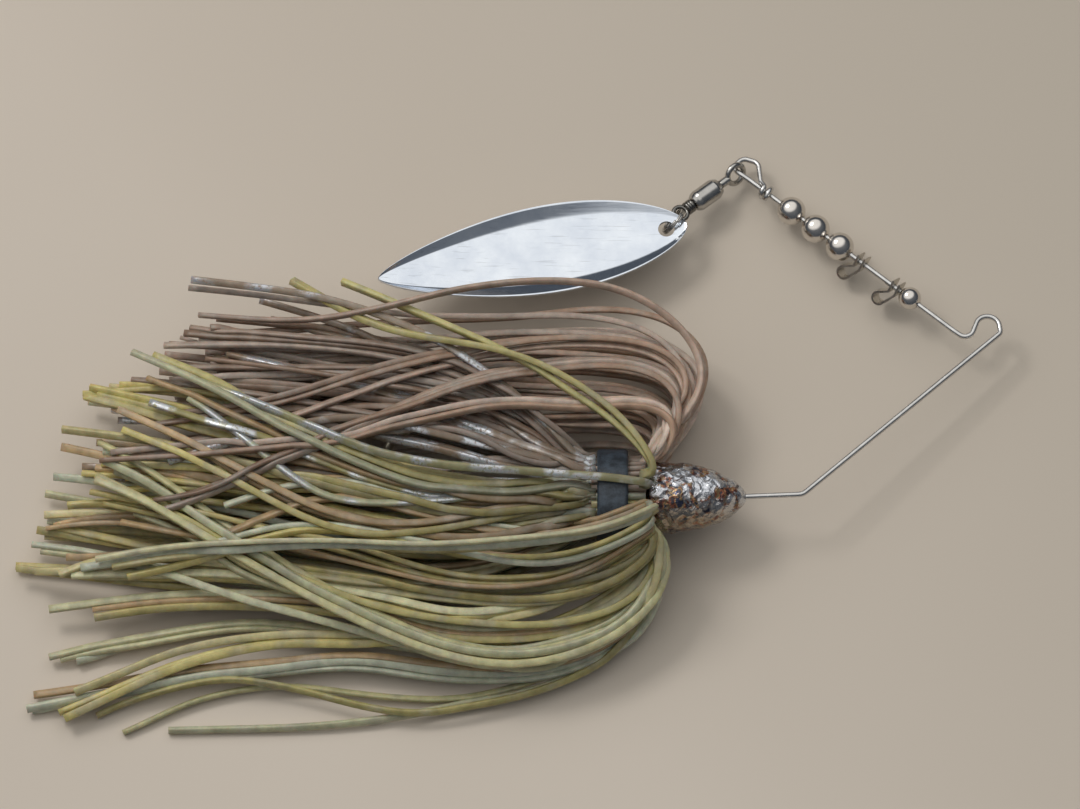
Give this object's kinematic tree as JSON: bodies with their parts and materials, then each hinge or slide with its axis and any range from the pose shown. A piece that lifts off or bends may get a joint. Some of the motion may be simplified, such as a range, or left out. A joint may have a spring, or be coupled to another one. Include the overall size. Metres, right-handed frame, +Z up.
{
  "type": "spinnerbait",
  "caption": "Spinnerbait on its side: bent wire with line tie, lead head and hook, banded silicone skirt, sliding beads and clevises, willow blade on a ball bearing swivel.",
  "frame": {"origin": "on the table under the middle of the lure's bounding box, as the lure lies on its side", "axes": "+X forward to the line tie, +Y to the blade arm, +Z up"},
  "size_m": [0.1374, 0.085, 0.0197],
  "materials": {
    "stainless_wire": "bright drawn stainless wire",
    "foil_lead": "cast lead under crinkled silver foil with brown, red and orange blotches, clear coated",
    "hook_steel": "nickel plated high carbon steel",
    "collar_rubber": "black, slightly blue moulded rubber, satin",
    "brown_silicone": "translucent brown silicone, glossy",
    "olive_silicone": "translucent olive silicone, glossy",
    "flake_silicone": "clear silicone with silver flake, glossy",
    "bright_plate": "bright nickel plate",
    "polished_blade": "polished nickel plated brass",
    "dark_swivel": "dark nickel plate"
  },
  "bodies": {
    "lure": {"wire_form": "stainless_wire", "lead_head": "foil_lead", "hook": "hook_steel", "skirt_collar": "collar_rubber", "skirt_bundle": "olive_silicone", "skirt_back_fold": "brown_silicone", "skirt_back_inner": "brown_silicone", "skirt_core_flake": "flake_silicone", "skirt_belly_inner": "olive_silicone", "skirt_belly_fold": "olive_silicone", "skirt_side_fold": "olive_silicone", "skirt_outer_legs": "olive_silicone", "skirt_under_tuft": "olive_silicone"},
    "bead_1": {"bead_1": "bright_plate"},
    "bead_2": {"bead_2": "bright_plate"},
    "bead_3": {"bead_3": "bright_plate"},
    "clevis_1": {"clevis_1": "bright_plate"},
    "bead_4": {"bead_4": "bright_plate"},
    "clevis_2": {"clevis_2": "bright_plate"},
    "swivel_top": {"swivel_upper_eye": "bright_plate"},
    "swivel_body": {"swivel_barrel": "bright_plate", "bearing_balls": "bright_plate"},
    "swivel_bottom": {"swivel_lower_eye": "dark_swivel"},
    "split_ring": {"split_ring": "bright_plate"},
    "blade": {"blade": "polished_blade"}
  },
  "joints": [
    {"name": "bead_3_slide", "type": "slide", "parent": "lure", "child": "bead_3", "axis": [-0.7699, 0.6347, -0.0667], "range_m": [-0.0015, 0.0009]},
    {"name": "bead_2_slide", "type": "slide", "parent": "lure", "child": "bead_2", "axis": [-0.7699, 0.6347, -0.0667], "range_m": [-0.0015, 0.0009]},
    {"name": "bead_1_slide", "type": "slide", "parent": "lure", "child": "bead_1", "axis": [-0.7699, 0.6347, -0.0667], "range_m": [-0.0015, 0.0009]},
    {"name": "clevis_1_spin", "type": "hinge", "parent": "bead_3", "child": "clevis_1", "pos_m": [0.04948, 0.02587, 0.00424], "axis": [-0.7699, 0.6347, -0.0667], "continuous": true},
    {"name": "bead_4_slide", "type": "slide", "parent": "lure", "child": "bead_4", "axis": [-0.7699, 0.6347, -0.0667], "range_m": [-0.0032, 0.0012]},
    {"name": "clevis_2_spin", "type": "hinge", "parent": "bead_4", "child": "clevis_2", "pos_m": [0.05429, 0.02191, 0.00465], "axis": [-0.7699, 0.6347, -0.0667], "continuous": true},
    {"name": "swivel_swing", "type": "hinge", "parent": "lure", "child": "swivel_top", "pos_m": [0.03253, 0.04094, 0.00265], "axis": [0, 0.1045, 0.9945], "range_deg": [-30, 0], "deforming": ["skirt_back_fold", "skirt_back_inner", "skirt_core_flake", "skirt_belly_inner", "skirt_belly_fold", "skirt_side_fold", "skirt_outer_legs", "skirt_under_tuft"]},
    {"name": "barrel_spin", "type": "hinge", "parent": "swivel_top", "child": "swivel_body", "pos_m": [0.0316, 0.03991, 0.0028], "axis": [0.7486, 0.6368, -0.1847], "continuous": true, "deforming": ["skirt_back_fold", "skirt_back_inner", "skirt_core_flake", "skirt_belly_inner", "skirt_belly_fold", "skirt_side_fold", "skirt_outer_legs", "skirt_under_tuft", "skirt_bundle"]},
    {"name": "lower_eye_spin", "type": "hinge", "parent": "swivel_body", "child": "swivel_bottom", "pos_m": [0.0239, 0.03336, 0.0047], "axis": [0.7486, 0.6368, -0.1847], "continuous": true, "deforming": ["skirt_back_fold", "skirt_back_inner", "skirt_core_flake", "skirt_belly_inner", "skirt_belly_fold", "skirt_side_fold", "skirt_outer_legs", "skirt_under_tuft", "skirt_bundle"]},
    {"name": "ring_swing", "type": "hinge", "parent": "swivel_bottom", "child": "split_ring", "pos_m": [0.0239, 0.03336, 0.0047], "axis": [-0.4426, 0.028, -0.8963], "range_deg": [0, 30], "deforming": ["skirt_back_fold", "skirt_back_inner", "skirt_core_flake", "skirt_belly_inner", "skirt_belly_fold", "skirt_side_fold", "skirt_outer_legs", "skirt_under_tuft"]},
    {"name": "blade_lift", "type": "hinge", "parent": "split_ring", "child": "blade", "pos_m": [0.0219, 0.03056, 0.0056], "axis": [-0.2055, 0.9787, 0], "range_deg": [0, 10], "deforming": ["skirt_back_fold", "skirt_back_inner", "skirt_core_flake", "skirt_belly_inner", "skirt_belly_fold", "skirt_side_fold", "skirt_outer_legs", "skirt_under_tuft"]}
  ],
  "couplings": [
    {"joint": "bead_2_slide", "follows": "bead_3_slide", "ratio": 1},
    {"joint": "bead_1_slide", "follows": "bead_3_slide", "ratio": 1}
  ]
}
